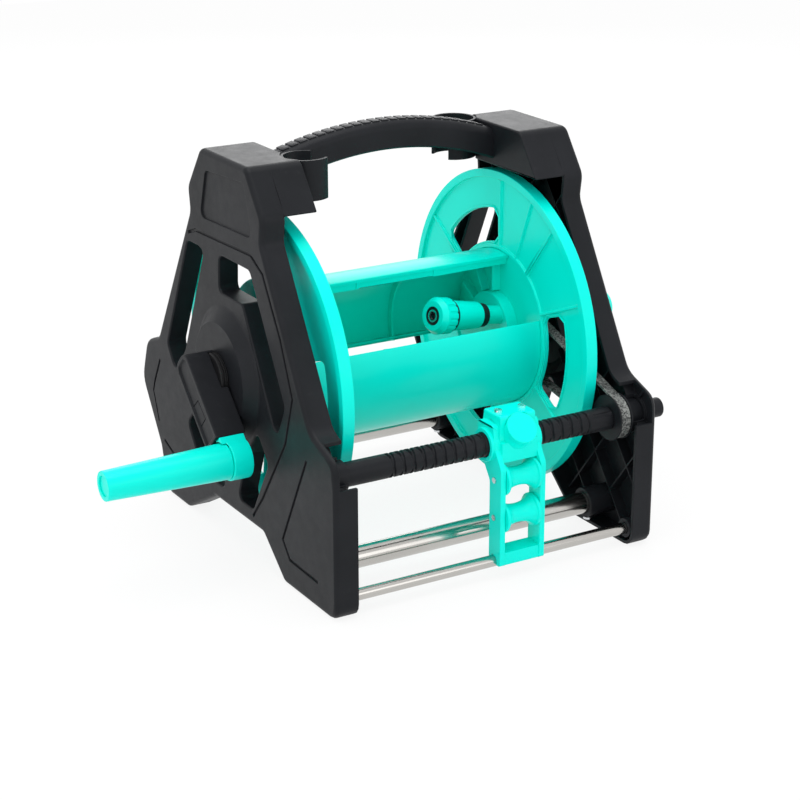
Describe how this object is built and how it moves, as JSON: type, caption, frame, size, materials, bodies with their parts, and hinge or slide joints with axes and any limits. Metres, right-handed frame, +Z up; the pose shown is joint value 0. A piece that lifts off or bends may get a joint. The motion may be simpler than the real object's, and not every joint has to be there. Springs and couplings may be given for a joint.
{
  "type": "hose reel",
  "caption": "Hand-cranked garden hose reel on two side panels, with a carrying handle, a drum with a water outlet, and a belt-driven level-wind hose guide.",
  "frame": {"origin": "on the floor, under the middle of the whole reel's bounding box, crank grip and inlet connector included", "axes": "+X along the drum axle, from the crank to the water inlet; the hose guide is on the -Y side; +Z up"},
  "size_m": [0.525, 0.3709, 0.353],
  "materials": {
    "black_plastic": "fine-grained, satin",
    "teal_plastic": "smooth, glossy",
    "polished_steel": "polished stainless tube and rod",
    "steel": "zinc-plated",
    "chrome_screw": "bright",
    "barb_metal": "turned",
    "rubber": "moulded"
  },
  "bodies": {
    "frame": {"left_panel": "black_plastic", "right_panel": "black_plastic", "carry_handle": "black_plastic", "handle_screws": "steel", "left_clip": "black_plastic", "right_clip": "black_plastic", "clip_screws": "steel", "front_tube": "polished_steel", "rear_tube": "polished_steel", "tube_screws": "steel", "guide_rod": "polished_steel", "left_hub_bush": "black_plastic", "right_hub_bush": "black_plastic", "left_screw_bearing": "black_plastic", "right_screw_bearing": "black_plastic", "drive_belt": "rubber"},
    "drum": {"left_flange": "teal_plastic", "right_flange": "teal_plastic", "front_core": "teal_plastic", "rear_core": "teal_plastic", "core_screws": "steel", "drive_spindle": "black_plastic", "spindle_screws": "steel", "water_spindle": "black_plastic", "outlet_manifold": "teal_plastic", "drum_pulley": "black_plastic", "pulley_screws": "steel", "crank_collar": "black_plastic", "crank_arm": "black_plastic", "crank_screw": "steel", "grip_socket": "teal_plastic", "socket_screws": "steel", "grip_axle": "steel"},
    "grip": {"grip": "teal_plastic", "grip_plug": "teal_plastic"},
    "screw": {"lead_screw": "black_plastic", "screw_pulley": "black_plastic", "screw_cap": "black_plastic"},
    "carriage": {"carriage": "teal_plastic", "follower_cap": "teal_plastic", "follower_pin": "steel", "cap_screws": "chrome_screw", "roller_pins": "steel"},
    "upper_roller": {"upper_roller": "teal_plastic"},
    "lower_roller": {"lower_roller": "teal_plastic"},
    "outlet": {"outlet_nut": "teal_plastic", "outlet_gland": "rubber", "outlet_seal": "rubber", "outlet_body": "teal_plastic", "outlet_collar": "black_plastic", "outlet_barb": "barb_metal"},
    "inlet": {"inlet_nut": "teal_plastic", "inlet_gland": "rubber", "inlet_seal": "rubber", "inlet_body": "teal_plastic", "inlet_collar": "black_plastic", "inlet_barb": "barb_metal"}
  },
  "joints": [
    {"name": "drum_spin", "type": "hinge", "parent": "frame", "child": "drum", "pos_m": [0.0305, 0, 0.154], "axis": [1, 0, 0], "continuous": true},
    {"name": "grip_spin", "type": "hinge", "parent": "drum", "child": "grip", "pos_m": [-0.2085, -0.05374, 0.10026], "axis": [1, 0, 0], "continuous": true},
    {"name": "screw_spin", "type": "hinge", "parent": "frame", "child": "screw", "pos_m": [0.0305, -0.158, 0.113], "axis": [1, 0, 0], "continuous": true},
    {"name": "carriage_travel", "type": "slide", "parent": "frame", "child": "carriage", "axis": [1, 0, 0], "range_m": [-0.11, 0.07]},
    {"name": "upper_roller_spin", "type": "hinge", "parent": "carriage", "child": "upper_roller", "pos_m": [0.0525, -0.172, 0.086], "axis": [1, 0, 0], "continuous": true},
    {"name": "lower_roller_spin", "type": "hinge", "parent": "carriage", "child": "lower_roller", "pos_m": [0.0525, -0.172, 0.053], "axis": [1, 0, 0], "continuous": true},
    {"name": "outlet_swivel", "type": "hinge", "parent": "drum", "child": "outlet", "pos_m": [0.10384, -0.02073, 0.17489], "axis": [-0.9636, -0.1873, 0.1908], "continuous": true},
    {"name": "inlet_swivel", "type": "hinge", "parent": "drum", "child": "inlet", "pos_m": [0.2105, 0, 0.154], "axis": [1, 0, 0], "continuous": true}
  ],
  "couplings": [
    {"joint": "screw_spin", "follows": "drum_spin", "ratio": 1.6364}
  ]
}
